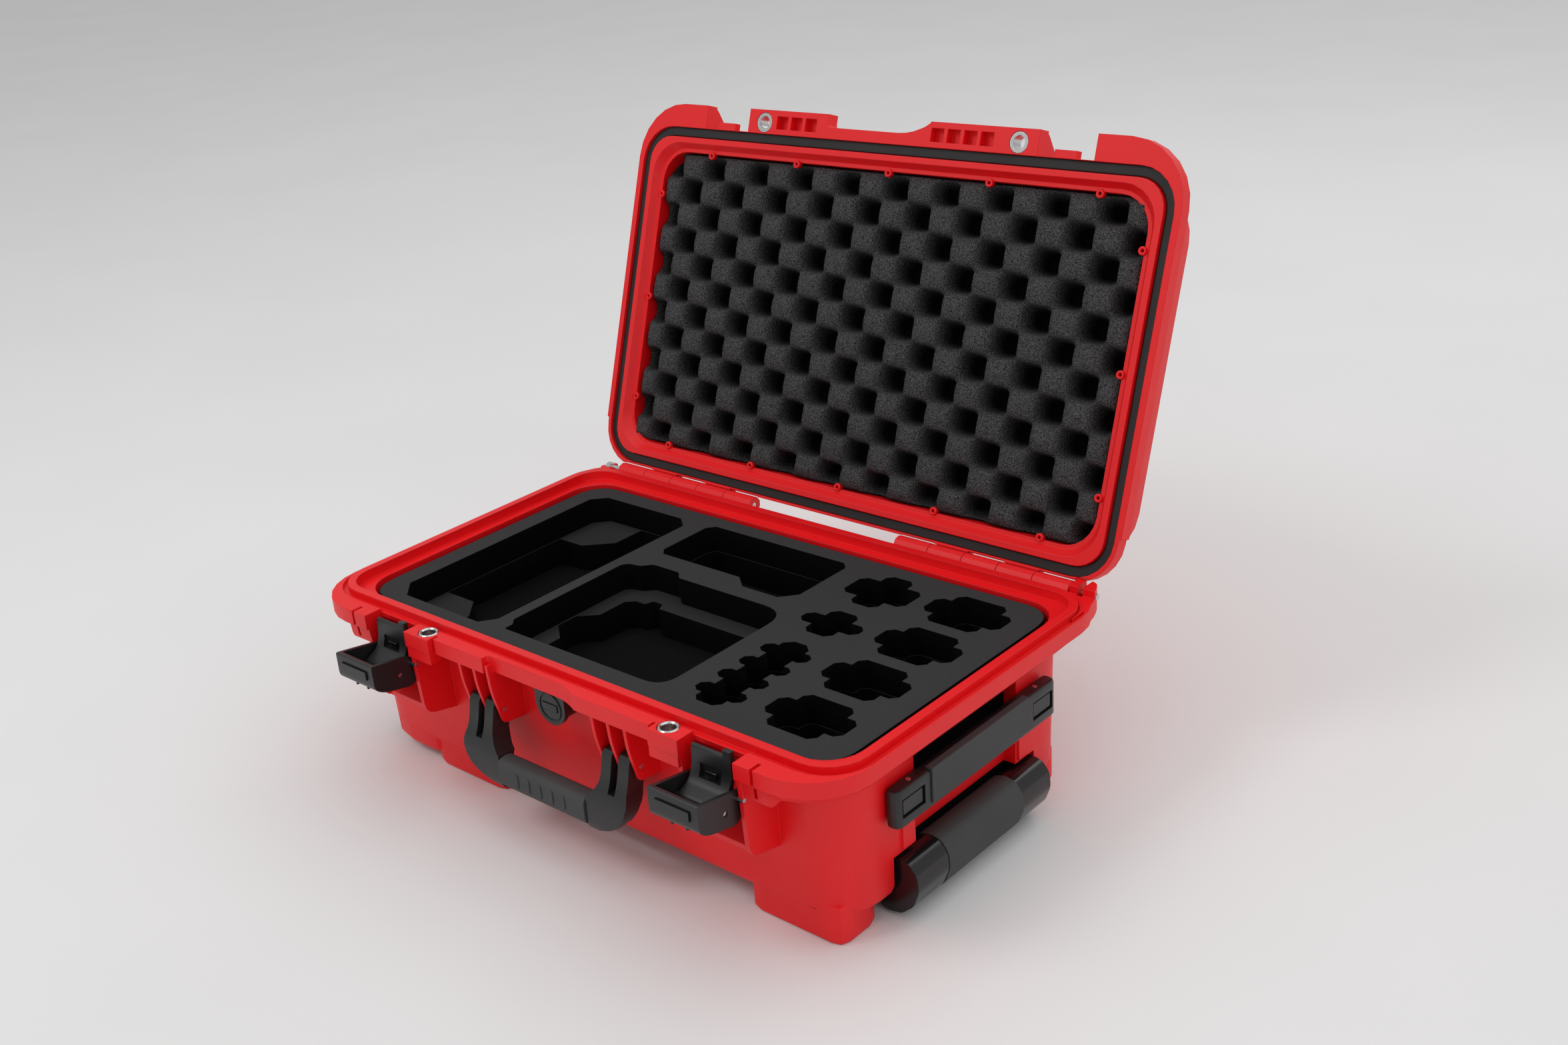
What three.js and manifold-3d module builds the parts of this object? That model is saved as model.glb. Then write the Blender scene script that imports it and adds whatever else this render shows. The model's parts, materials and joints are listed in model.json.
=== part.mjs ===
// Wheeled hard carrying case for a drone: a red shell with a hinged lid, two
// claw latches, three handles, two wheels and fitted foam.
// Millimetres, +Z up. X runs along the front, Y from the front to the back.
// The origin is on the floor under the middle of the base.
import * as THREE from 'three';
import { mergeVertices } from 'three/addons/utils/BufferGeometryUtils.js';
import Module from 'manifold-3d';

const wasm = await Module();
wasm.setup();

// ---- driving dimensions -------------------------------------------------
const GAP = 0.3; // clearance where two pieces rest on each other
const LIP_Z = 157; // crest of the sealing lip above the floor
const FLANGE_Z = LIP_Z - 3.5; // flat top of the base flange
const FLANGE_HALF = [278, 177]; // base and lid flange, half length and depth
const FLANGE_RADIUS = 50;
const FLANGE_DROP = 13; // thickness of the flange at the front and back
const END_BAND_DROP = 27; // taller band at the two ends
const BODY_HALF = [262, 141]; // outside of the base walls
const BODY_RADIUS = 38;
const BODY_BOTTOM_Z = 20;
const WALL = 4.5;
const LIP_HALF = [271.5, 155.5]; // outside of the sealing lip
const LIP_WIDTH = 7;
const LIP_RADIUS = 32;
const BAY_X = [149, 199.5]; // latch bay, inner and outer side
const BAY_BACK_Y = -160.5;
const RIB = 4;
const HANDLE_RIB_X = [57, 73.5, 90.5];
const RECESS_X = [-60, 40]; // shallow recess in the middle of the front
const HINGE = { y: 166, z: LIP_Z - 5 };
const LID_OPEN = 108.5; // degrees from closed, leaning on its stop
const LID_Z = LIP_Z - 3; // underside of the closed lid's flange
const LID_WALL_TOP = LIP_Z + 62.5;
const LID_TOP = LIP_Z + 72;
const GASKET_HALF = [268.5, 152.5]; // centre line of the gasket groove
const BUSHING = { x: 131, y: -166, bore: 5.6, radius: 8.4 };
const FOAM_TOP = LIP_Z - 10;
const FOAM_FLOOR = 24.8;
const FOAM_LEVELS = [FOAM_FLOOR, FOAM_TOP - 49, FOAM_TOP - 24, FOAM_TOP];
const FOAM_HALF = [251, 136.5];
const LATCH = { x: 174.25, pivotY: -172, pivotZ: LIP_Z - 34, clawY: -185, clawZ: LIP_Z - 40 };
const HANDLE = { y: -160, z: LIP_Z - 52 };
const SIDE = { x: 274, depth: 11, halfY: 98, z0: LIP_Z - 72, z1: LIP_Z - 42 };
const TROLLEY = { halfY: 84, tubeY: 58, tubeZ: 11 };
const WHEEL = { x: -252, z: 26, y: 100, radius: 24, width: 22 };
const SIDES = [-1, 1]; // left and right, or front and back

// ---- materials ----------------------------------------------------------
const material = (color, roughness, metalness = 0) =>
  new THREE.MeshStandardMaterial({ color, roughness, metalness });
const RED = material(0xd8000f, 0.42);
const BLACK = material(0x121212, 0.4);
const GRIP = material(0x3a3a3a, 0.75);
const RUBBER = material(0x0c0c0c, 0.6);
const STEEL = material(0xc4c4c4, 0.25, 1);
const ALUMINIUM = material(0xb0b2b4, 0.35, 1);
const FOAM_GREY = material(0x3c3c3e, 0.95);
const FOAM_BLACK = material(0x161618, 0.98);

// ---- solids -------------------------------------------------------------
function solid(geometry) {
  const bare = geometry.index ? geometry.toNonIndexed() : geometry.clone();
  bare.deleteAttribute('normal');
  bare.deleteAttribute('uv');
  const merged = mergeVertices(bare, 1e-4);
  return new wasm.Manifold(new wasm.Mesh({
    numProp: 3,
    vertProperties: new Float32Array(merged.attributes.position.array),
    triVerts: new Uint32Array(merged.index.array),
  }));
}

function union(parts) {
  return parts.reduce((sum, part) => sum.add(part));
}

function less(body, cutters) {
  return cutters.reduce((rest, cutter) => rest.subtract(cutter), body);
}

function surface(body) {
  const { vertProperties, triVerts } = body.getMesh();
  const geometry = new THREE.BufferGeometry();
  geometry.setAttribute('position', new THREE.BufferAttribute(vertProperties, 3));
  geometry.setIndex(new THREE.BufferAttribute(triVerts, 1));
  return geometry;
}

// The same body on the other side of the middle, in X or in Y.
function mirrored(body, axis = 'x') {
  const geometry = surface(body);
  geometry.scale(axis === 'x' ? -1 : 1, axis === 'y' ? -1 : 1, 1);
  geometry.index.array.reverse(); // keeps the faces outward
  return solid(geometry);
}

function bothSides(body) {
  return [body, mirrored(body)];
}

function toMesh(name, body, look) {
  const mesh = new THREE.Mesh(surface(body), look);
  mesh.name = name;
  return mesh;
}

function box([x0, x1], [y0, y1], [z0, z1]) {
  const geometry = new THREE.BoxGeometry(x1 - x0, y1 - y0, z1 - z0);
  return solid(geometry.translate((x0 + x1) / 2, (y0 + y1) / 2, (z0 + z1) / 2));
}

function outline(points) {
  return new THREE.Shape(points.map(([x, y]) => new THREE.Vector2(x, y)));
}

// An outline whose corners are rounded by a radius, or each by its own.
function rounded(points, radius) {
  const shape = new THREE.Shape();
  const count = points.length;
  points.forEach((point, i) => {
    const r = Array.isArray(radius) ? radius[i] : radius;
    const here = new THREE.Vector2(...point);
    const before = new THREE.Vector2(...points[(i + count - 1) % count]).sub(here);
    const after = new THREE.Vector2(...points[(i + 1) % count]).sub(here);
    const start = here.clone().addScaledVector(before, Math.min(r / before.length(), 0.49));
    const end = here.clone().addScaledVector(after, Math.min(r / after.length(), 0.49));
    if (i === 0) shape.moveTo(start.x, start.y);
    else shape.lineTo(start.x, start.y);
    if (r > 0) shape.quadraticCurveTo(here.x, here.y, end.x, end.y);
  });
  shape.closePath();
  return shape;
}

function roundRect(halfX, halfY, r) {
  const shape = new THREE.Shape();
  shape.absarc(halfX - r, halfY - r, r, 0, Math.PI / 2);
  shape.absarc(r - halfX, halfY - r, r, Math.PI / 2, Math.PI);
  shape.absarc(r - halfX, r - halfY, r, Math.PI, Math.PI * 1.5);
  shape.absarc(halfX - r, r - halfY, r, Math.PI * 1.5, Math.PI * 2);
  return shape;
}

function slabGeometry(shape, [z0, z1], curveSegments, bevel) {
  const geometry = new THREE.ExtrudeGeometry(shape, {
    depth: z1 - z0 - 2 * bevel,
    curveSegments,
    bevelEnabled: bevel > 0,
    bevelThickness: bevel,
    bevelSize: bevel,
    bevelOffset: -bevel,
    bevelSegments: 2,
  });
  return geometry.translate(0, 0, z0 + bevel);
}

// An outline in X and Y, pulled up from z0 to z1.
function slab(shape, zSpan, curveSegments = 3, bevel = 0) {
  return solid(slabGeometry(shape, zSpan, curveSegments, bevel));
}

// A slab that narrows evenly away from a height, as moulded walls do.
function drafted(shape, zSpan, { from, slope, curveSegments = 3, bevel = 0 }) {
  const geometry = slabGeometry(shape, zSpan, curveSegments, bevel);
  const { position } = geometry.attributes;
  for (let i = 0; i < position.count; i += 1) {
    const inset = Math.max(0, (position.getZ(i) - from) * slope);
    position.setX(i, position.getX(i) - Math.sign(position.getX(i)) * inset);
    position.setY(i, position.getY(i) - Math.sign(position.getY(i)) * inset);
  }
  return solid(geometry);
}

// An outline in Y and Z, pulled along X.
function alongX(shape, [x0, x1], curveSegments = 5) {
  const geometry = new THREE.ExtrudeGeometry(shape, {
    depth: x1 - x0, curveSegments, bevelEnabled: false,
  });
  geometry.rotateX(Math.PI / 2).rotateZ(Math.PI / 2);
  return solid(geometry.translate(x0, 0, 0));
}

// An outline in X and Z, pulled along Y.
function alongY(shape, [y0, y1], curveSegments = 5) {
  const geometry = new THREE.ExtrudeGeometry(shape, {
    depth: y1 - y0, curveSegments, bevelEnabled: false,
  });
  geometry.rotateX(Math.PI / 2);
  return solid(geometry.translate(0, y1, 0));
}

// A round bar along one axis, centred on (a, b) in the other two.
function rod(axis, radius, [from, to], [a, b], sides = 16) {
  const geometry = new THREE.CylinderGeometry(radius, radius, to - from, sides);
  const middle = (from + to) / 2;
  if (axis === 'x') geometry.rotateZ(Math.PI / 2).translate(middle, a, b);
  if (axis === 'y') geometry.translate(a, middle, b);
  if (axis === 'z') geometry.rotateX(Math.PI / 2).translate(a, b, middle);
  return solid(geometry);
}

// ---- hinge --------------------------------------------------------------
const KNUCKLE_COUNT = 5;
const KNUCKLE_RADIUS = 7.5;
const PIN_RADIUS = 2.5;
const EAR_RISE = 8; // top of the right ear above the hinge line
const PIN_HEAD = { radius: 4.5, x: [-266, -261.3], cup: [-270, -260.5] };
const HINGE_SPAN = [79.4, 246];
const KNUCKLE_PITCH = (HINGE_SPAN[1] - HINGE_SPAN[0]) / KNUCKLE_COUNT;

// Where the knuckles of one hinge half start along X, on one side.
function knuckleStarts(first) {
  const starts = [];
  for (let i = first; i < KNUCKLE_COUNT; i += 2) starts.push(HINGE_SPAN[0] + i * KNUCKLE_PITCH);
  return starts;
}

// The alternate knuckles of one hinge half, with a web back to its flange.
function knuckles(first, webFrom, webZ) {
  return union(knuckleStarts(first).flatMap((start) => {
    const span = [start + GAP, start + KNUCKLE_PITCH - GAP];
    const barrel = rod('x', KNUCKLE_RADIUS, span, [HINGE.y, HINGE.z], 10);
    return bothSides(barrel.add(box(span, [webFrom, HINGE.y], webZ)));
  }));
}

// Room that the other half's knuckles turn in.
function knuckleRoom(first) {
  return knuckleStarts(first).flatMap((start) => bothSides(
    rod('x', KNUCKLE_RADIUS + 1.5, [start - GAP, start + KNUCKLE_PITCH + GAP],
      [HINGE.y, HINGE.z], 10)));
}

// The flanges step back from the hinge line.
function hingeRoom(zSpan) {
  return box([-257.3, 257.3], [HINGE.y - KNUCKLE_RADIUS, 200], zSpan);
}

// A thick place in the flange for the head of the left hinge pin.
function pinHeadCup() {
  return rod('x', PIN_HEAD.radius + 2.5, PIN_HEAD.cup, [HINGE.y, HINGE.z], 12)
    .intersect(box([-300, 0], [150, 200], [0, FLANGE_Z]));
}

function pinBores() {
  return bothSides(rod('x', PIN_RADIUS + GAP, [70, 300], [HINGE.y, HINGE.z], 8));
}

// ---- base shell ---------------------------------------------------------
const TROLLEY_RECESS = { x: [238, 300], y: [-88, 88], z: [-1, LIP_Z - 104] };
const HANDLE_RECESS = { x: [250, 300], y: [-63, 63], z: [50, LIP_Z - 32] };
const WHEEL_RECESSES = SIDES.map((side) => ({
  x: [-300, -223], y: [side * WHEEL.y - 13.5, side * WHEEL.y + 13.5], z: [-1, 54],
}));
const POST = { y: 80, halfY: 11, halfZ: 5.5, inner: 246, boss: 243.5 };
const SIDE_MID_Z = (SIDE.z0 + SIDE.z1) / 2;

// A recess in an end wall, or the thicker wall that stays round it.
function recessBox({ x, y, z }, grown = 0) {
  const spanX = x[0] > 0 ? [x[0] - grown, x[1]] : [x[0], x[1] + grown];
  return box(spanX, [y[0] - grown, y[1] + grown], [z[0], z[1] + grown]);
}

// The four ribs that stand beside the latch bays.
function bayRibs() {
  const profile = rounded([
    [-138, FLANGE_Z - 6], [-177, FLANGE_Z - 0.01], [-174, LIP_Z - 25],
    [-171, LIP_Z - 80], [-138, LIP_Z - 87],
  ], [0, 0, 0, 9, 0]);
  return [BAY_X[0] - RIB, BAY_X[1]].flatMap((x) => bothSides(alongX(profile, [x, x + RIB], 3)));
}

// Three thin ribs at each end of the front handle.
function handleRibs() {
  const profile = rounded([
    [-138, FLANGE_Z - 6], [-172, FLANGE_Z - 6], [-170, LIP_Z - 34],
    [-163, LIP_Z - 63], [-138, LIP_Z - 66],
  ], [0, 0, 6, 3, 0]);
  return HANDLE_RIB_X.flatMap((x) => bothSides(alongX(profile, [x - 1.5, x + 1.5], 2)));
}

function feet() {
  const shapes = [
    rounded([[-190, -136], [-103, -136], [-103, -96], [-190, -96]], 10),
    rounded([[165, -136], [250, -136], [250, -94], [165, -94]], 10),
  ];
  const blocks = shapes.map((shape) => slab(shape, [0, BODY_BOTTOM_Z + 12], 2, 3));
  return blocks.flatMap((block) => [block, mirrored(block, 'y')]);
}

// The sealing lip: a tongue that stands round the opening.
function lip() {
  const [x, y] = LIP_HALF;
  const outer = slab(roundRect(x, y, LIP_RADIUS), [FLANGE_Z - 8, LIP_Z]);
  const inner = roundRect(x - LIP_WIDTH, y - LIP_WIDTH, LIP_RADIUS - LIP_WIDTH);
  return outer.subtract(slab(inner, [FLANGE_Z - 20, LIP_Z + 5]));
}

// The drain channel just outside the lip.
function channel() {
  const wide = roundRect(LIP_HALF[0] + 5, LIP_HALF[1] + 5, LIP_RADIUS + 5);
  return slab(wide, [FLANGE_Z - 3, FLANGE_Z + 9])
    .subtract(slab(roundRect(...LIP_HALF, LIP_RADIUS), [FLANGE_Z - 9, LIP_Z + 9]));
}

// The inside: a wide mouth under the lip, then the foam well.
function baseHollow() {
  const mouthZ = LIP_Z - 8;
  const well = drafted(roundRect(256, 139, 30), [BODY_BOTTOM_Z + WALL, mouthZ],
    { from: mouthZ, slope: -0.02 });
  const mouth = slab(
    roundRect(LIP_HALF[0] - LIP_WIDTH, LIP_HALF[1] - LIP_WIDTH, LIP_RADIUS - LIP_WIDTH),
    [mouthZ - 0.01, LIP_Z + 9]);
  const thick = [TROLLEY_RECESS, HANDLE_RECESS, ...WHEEL_RECESSES]
    .map((recess) => recessBox(recess, WALL));
  const bosses = SIDES.map((side) => box([POST.boss, 300],
    [side * POST.y - POST.halfY - 3, side * POST.y + POST.halfY + 3],
    [SIDE_MID_Z - POST.halfZ - 3, SIDE_MID_Z + POST.halfZ + 3]));
  return less(well, [...thick, ...bosses]).add(mouth);
}

function bayCuts() {
  const cut = box(BAY_X, [-200, BAY_BACK_Y], [FLANGE_Z - 40, FLANGE_Z + 9]);
  const under = box(BAY_X, [-200, -152], [FLANGE_Z - 40, FLANGE_Z - 7]);
  return bothSides(cut.add(under));
}

// Ledge at the foot of each latch bay, sloping up to the wall.
function bayShelves() {
  const profile = outline([
    [-138, LIP_Z - 57], [-166, LIP_Z - 76], [-164, LIP_Z - 82], [-138, LIP_Z - 88],
  ]);
  return bothSides(alongX(profile, [BAY_X[0] - 1, BAY_X[1] + 1]));
}

// Blocks under the flange with a padlock hole, and the two outer pads.
function frontBlocks() {
  const inner = box([120, BAY_X[0] - 1], [-176.5, -150], [FLANGE_Z - 22, FLANGE_Z - 5]);
  const pad = alongX(rounded([
    [-175.5, FLANGE_Z - 5], [-173, LIP_Z - 33], [-150, LIP_Z - 30], [-150, FLANGE_Z - 5],
  ], [0, 6, 0, 0]), [BAY_X[1] + RIB - 1, 226], 3);
  return [...bothSides(inner), ...bothSides(pad)];
}

function frontSlots() {
  return [[117.5, 120], [214, 217]].flatMap((span) =>
    bothSides(box(span, [-180, -167], [FLANGE_Z - 24, FLANGE_Z + 5])));
}

// The flange steps back in the middle of the front.
function recessShape() {
  return rounded([
    [RECESS_X[0], -195], [RECESS_X[0], -166], [RECESS_X[1] - 14, -166],
    [RECESS_X[1] + 8, -176], [RECESS_X[1] + 8, -195],
  ], [0, 4, 12, 8, 0]);
}

function padlockBores(zSpan) {
  return bothSides(rod('z', BUSHING.radius + GAP, zSpan, [BUSHING.x, BUSHING.y], 20));
}

// The ear at the right rear corner that carries the end of the hinge pin.
function hingeEar() {
  const shape = rounded([
    [247, 173.5], [247, 148], [262, 121], [273, 121], [273, 152], [264, 173.5],
  ], [0, 0, 0, 0, 12, 6]);
  const tall = slab(shape, [LIP_Z - 17, HINGE.z + EAR_RISE], 3)
    .intersect(box([240, 280], [159, 180], [0, 300]));
  const seal = slab(roundRect(LIP_HALF[0] + 1, LIP_HALF[1] + 1, LIP_RADIUS + 1), [0, 300]);
  return slab(shape, [LIP_Z - 17, FLANGE_Z], 3).add(tall).subtract(seal);
}

// Room in the lid that turns round the ear.
function earRoom() {
  return rod('x', EAR_RISE + 3.5, [246, 300], [HINGE.y, HINGE.z], 16);
}

function earSlot() {
  return box([254, 259], [158, 190], [HINGE.z - 6, HINGE.z + 40]);
}

// Flat bed under the base for the trolley housing.
function trolleyBed() {
  return box([-221.5, 235.5], [-72.5, 72.5], [0, BODY_BOTTOM_Z]);
}

function endPads() {
  return SIDES.map((side) => box([BODY_HALF[0] - 6, BODY_HALF[0] + 0.6],
    [side * 72 - 7, side * 72 + 7], [56, SIDE.z0 - 6]));
}

function latchPinHoles() {
  return bothSides(rod('x', 1.8 + GAP, [LATCH.x - 31, LATCH.x + 31],
    [LATCH.pivotY, LATCH.pivotZ], 10));
}

function handlePinHoles() {
  return bothSides(rod('x', 2 + GAP, [54, 95], [HANDLE.y, HANDLE.z], 10));
}

function axleHoles() {
  return SIDES.map((side) => rod('y', 4 + GAP,
    [side * WHEEL.y - 18, side * WHEEL.y + 18], [WHEEL.x, WHEEL.z], 12));
}

function postHoles() {
  return SIDES.map((side) => box([POST.inner - 0.5, 270],
    [side * POST.y - POST.halfY - GAP, side * POST.y + POST.halfY + GAP],
    [SIDE_MID_Z - POST.halfZ - GAP, SIDE_MID_Z + POST.halfZ + GAP]));
}

function baseShell() {
  const [bx, by] = BODY_HALF;
  const draft = { from: 110, slope: -0.025 };
  const body = drafted(roundRect(bx, by, BODY_RADIUS), [BODY_BOTTOM_Z, LIP_Z - 8],
    { ...draft, bevel: 10 });
  const wheelEnd = drafted(
    rounded([[1.5 - bx, 1.5 - by], [-187, 1.5 - by], [-187, by - 1.5], [1.5 - bx, by - 1.5]],
      [38, 8, 8, 38]), [9, 60], { ...draft, bevel: 5 });
  const rim = roundRect(...FLANGE_HALF, FLANGE_RADIUS);
  const flange = slab(rim, [FLANGE_Z - FLANGE_DROP, FLANGE_Z]);
  const bandTop = FLANGE_Z - 12;
  const ends = drafted(rim, [FLANGE_Z - END_BAND_DROP, bandTop], { from: bandTop, slope: -0.9 })
    .subtract(box([-226, 226], [-200, 200], [0, 200]));
  const front = [
    slab(recessShape(), [0, 200], 3),
    box([-118, 118], [-200, -172.5], [0, 200]),
  ];
  const solidShell = union([
    less(union([body, wheelEnd, flange, ends]),
      [channel(), hingeRoom([FLANGE_Z - 50, FLANGE_Z + 9]), ...front]),
    lip(), ...bayRibs(), ...handleRibs(), ...feet(), ...frontBlocks(), ...bayShelves(),
    hingeEar(), ...endPads(), knuckles(0, 157, [LIP_Z - 15, LIP_Z - 8]),
    pinHeadCup(),
  ]);
  return less(solidShell, [
    baseHollow(), recessBox(TROLLEY_RECESS), recessBox(HANDLE_RECESS),
    ...WHEEL_RECESSES.map((recess) => recessBox(recess)), ...bayCuts(), ...frontSlots(),
    ...knuckleRoom(1), ...pinBores(), box([-79, 79], [163, 200], [100, 200]), earSlot(),
    rod('x', PIN_HEAD.radius + GAP, [PIN_HEAD.x[0] - GAP, PIN_HEAD.x[1] + GAP],
      [HINGE.y, HINGE.z], 12),
    trolleyBed(), ...padlockBores([0, 200]), ...handlePinHoles(), ...latchPinHoles(),
    ...axleHoles(), ...postHoles(), rod('y', 9, [-150, -120], [0, LIP_Z - 32], 16),
  ]);
}

// ---- lid shell, drawn closed --------------------------------------------
function lidHollow() {
  const ridgeZ = LIP_Z + 4;
  const well = drafted(roundRect(250.5, 135, 27), [ridgeZ - 0.01, LIP_Z + 58],
    { from: ridgeZ, slope: 0.03 });
  const mouth = drafted(roundRect(259, 143.5, 30), [LID_Z - 1, ridgeZ],
    { from: LID_Z, slope: 0.75 });
  return well.add(mouth);
}

function gasketGroove() {
  const [x, y] = GASKET_HALF;
  const wide = slab(roundRect(x + 4, y + 4, LIP_RADIUS + 1), [LID_Z - 1, LID_Z + 8]);
  return wide.subtract(slab(roundRect(x - 4.8, y - 4.8, LIP_RADIUS - 8), [LID_Z - 2, LID_Z + 9]));
}

// Tall ribs that frame the latch bays in the lid.
function lidBayRibs() {
  const profile = rounded([
    [-145, LID_Z + 1], [-177, LID_Z], [-176, LID_Z + 12], [-158, LID_Z + 30], [-145, LID_Z + 32],
  ], [0, 0, 5, 8, 0]);
  return [BAY_X[0] - RIB, BAY_X[1]].flatMap((x) => bothSides(alongX(profile, [x, x + RIB], 3)));
}

// Open pockets in the underside of the lid's front blocks.
function lidPockets() {
  const width = 12.5;
  const starts = [-117, -101, -85, 47, 63, 79, 95];
  return starts.map((x) => box([x, x + width], [-172, -161], [LID_Z - 1, LID_Z + 8]));
}

// The bar that each claw hooks over.
function lidHooks() {
  return bothSides(box([LATCH.x - 10, LATCH.x + 10], [-163, -155], [LID_Z, LIP_Z + 3.4]));
}

function lidTop() {
  const panel = slab(roundRect(170, 78, 18), [LIP_Z + 55, LID_TOP - 3], 2, 3);
  const bumper = slab(rounded([[186, 70], [228, 70], [228, 112], [186, 112]], 12),
    [LIP_Z + 50, LID_TOP], 2, 3);
  return [panel, ...bothSides(bumper), ...bothSides(mirrored(bumper, 'y'))];
}

function lidShell() {
  const flange = slab(roundRect(...FLANGE_HALF, FLANGE_RADIUS), [LID_Z, LID_Z + 12]);
  const corner = box([244.5, 300], [119.5, 200], [LID_Z - 1, LID_Z + 40])
    .subtract(slab(roundRect(LIP_HALF[0] + 4.5, LIP_HALF[1] + 4.5, 36.5), [0, 300]));
  const body = drafted(roundRect(263, 148, 40), [LID_Z + 2, LID_WALL_TOP],
    { from: LID_Z + 15, slope: 0.05, bevel: 12 });
  const bays = bothSides(box(BAY_X, [-200, -157], [LID_Z - 1, LID_Z + 40]));
  const shell = union([
    less(flange, [...bothSides(corner), slab(recessShape(), [0, 300], 3), ...bays,
      hingeRoom([0, 300])]),
    body, ...lidBayRibs(), ...lidHooks(), ...lidTop(),
    knuckles(1, 150, [LIP_Z + 0.5, LIP_Z + 6]),
  ]);
  return less(shell, [
    lidHollow(), gasketGroove(), ...lidPockets(), ...knuckleRoom(0), ...pinBores(),
    ...padlockBores([0, 300]), earRoom(),
  ]);
}

function gasket() {
  const [x, y] = GASKET_HALF;
  const half = 3.7;
  const zSpan = [LIP_Z + 0.4, LID_Z + 8 - GAP];
  return slab(roundRect(x + half, y + half, LIP_RADIUS), zSpan)
    .subtract(slab(roundRect(x - half, y - half, LIP_RADIUS - 7), [0, 300]));
}

function lidFoam() {
  return drafted(roundRect(248, 133, 25), [LIP_Z + 2, LIP_Z + 57.5],
    { from: LIP_Z + 4, slope: 0.03 });
}

// ---- small turned parts -------------------------------------------------
function turned(profile, segments = 16) {
  return new THREE.LatheGeometry(profile.map(([r, z]) => new THREE.Vector2(r, z)), segments);
}

// A steel sleeve that lines a padlock hole.
function bushing([z0, z1]) {
  const { bore, radius } = BUSHING;
  const ring = turned([
    [bore, 0], [radius, 0], [radius, z1 - z0 - 1], [radius - 1, z1 - z0],
    [bore + 1, z1 - z0], [bore, z1 - z0 - 1], [bore, 0],
  ]);
  return solid(ring.rotateX(Math.PI / 2).translate(0, 0, z0));
}

// ---- latch, drawn on the X = 0 plane ------------------------------------
const LEVER_HALF = 23;
const CLAW_HALF = 18;
const above = (points) => points.map(([y, z]) => [y, LIP_Z + z]);

function lever() {
  const side = rounded(above([
    [-167.5, -29], [-176, -27], [-205, -22], [-211, -21], [-211, -42], [-203, -47.5],
    [-174, -54], [-168, -46],
  ]), [2, 2, 3, 2, 4, 5, 5, 3]);
  const inside = outline(above([
    [-150, -10], [-206.5, -10], [-206.5, -40], [-201.5, -44], [-175, -50], [-150, -50],
  ]));
  const shell = alongX(side, [-LEVER_HALF, LEVER_HALF], 3)
    .subtract(alongX(inside, [3 - LEVER_HALF, LEVER_HALF - 3]));
  const ribs = [-7, 7].map((x) => box([x - 0.8, x + 0.8], [-207, -194], [LIP_Z - 47, LIP_Z - 36]));
  return less(union([shell, ...ribs]), [
    rod('x', 1.8 + GAP, [-30, 30], [LATCH.pivotY, LATCH.pivotZ], 10),
    rod('x', 2 + GAP, [-30, 30], [LATCH.clawY, LATCH.clawZ], 10),
    box([-16, 16], [-220, -200], [LIP_Z - 35, LIP_Z - 27]),
  ]);
}

function claw() {
  const side = rounded(above([
    [-184, -45.5], [-178, -44], [-172, -34], [-168, -22], [-168, -12.3], [-166, -12.3],
    [-166, -8.5], [-168.5, -5], [-171.3, -7], [-171.6, -22], [-176, -31], [-189, -37],
    [-189.5, -42],
  ]), [3, 3, 4, 3, 0, 0, 2, 2, 3, 4, 4, 3, 3]);
  const body = alongX(side, [-CLAW_HALF, CLAW_HALF], 2);
  const tab = box([11, CLAW_HALF], [-171, -167], [LIP_Z - 9, LIP_Z - 1.5]);
  return less(body.add(tab), [
    box([-10, 10], [-200, -170.4], [LIP_Z - 28, LIP_Z - 18]),
    rod('x', 2 + GAP, [-30, 30], [LATCH.clawY, LATCH.clawZ], 10),
  ]);
}

// ---- front handle -------------------------------------------------------
const CORE = { x: 48, y: [-177.5, -169.5], z: [LIP_Z - 101, LIP_Z - 90] };

function handleFrame() {
  const front = rounded([
    [-88, LIP_Z - 43], [-88, LIP_Z - 71], [-91, LIP_Z - 80], [-84, LIP_Z - 99],
    [-52, LIP_Z - 112], [52, LIP_Z - 112], [84, LIP_Z - 99], [91, LIP_Z - 80],
    [88, LIP_Z - 71], [88, LIP_Z - 43], [60, LIP_Z - 43], [60, LIP_Z - 70],
    [49, LIP_Z - 84], [-49, LIP_Z - 84], [-60, LIP_Z - 70], [-60, LIP_Z - 43],
  ], [4, 2, 6, 12, 8, 8, 12, 6, 2, 4, 4, 6, 4, 4, 6, 4]);
  const side = rounded(above([
    [-152.5, -43], [-167, -43], [-172, -66], [-180.5, -84], [-180.5, -106],
    [-177, -112], [-167, -112], [-164.5, -86], [-157, -72], [-152.5, -58],
  ]), [6, 6, 6, 8, 5, 3, 3, 8, 6, 4]);
  const blank = alongY(front, [-190, -150], 2).intersect(alongX(side, [-100, 100], 2));
  const slots = bothSides(box([70, 77], [-200, -140], [LIP_Z - 75, LIP_Z - 30]));
  const hollow = box([-CORE.x - GAP, CORE.x + GAP], [-200, -150], [LIP_Z - 120, LIP_Z - 80])
    .subtract(box([-60, 60], CORE.y, CORE.z));
  return less(blank, [...slots, hollow,
    ...bothSides(rod('x', 2 + GAP, [50, 95], [HANDLE.y, HANDLE.z], 10))]);
}

function handleGrip() {
  const shape = rounded(above([
    [-182, -84], [-164.5, -84], [-164.5, -108], [-182, -108],
  ]), [7, 7, 7, 7]);
  const core = box([-60, 60], [CORE.y[0] - GAP, CORE.y[1] + GAP],
    [CORE.z[0] - GAP, CORE.z[1] + GAP]);
  return alongX(shape, [-CORE.x, CORE.x], 4).subtract(core);
}

// ---- side carry handle --------------------------------------------------
const SIDE_GRIP = { x: [269.3, 275.3], halfY: 60, z: [SIDE.z0 + 4, SIDE.z1 + 1.5] };

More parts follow.
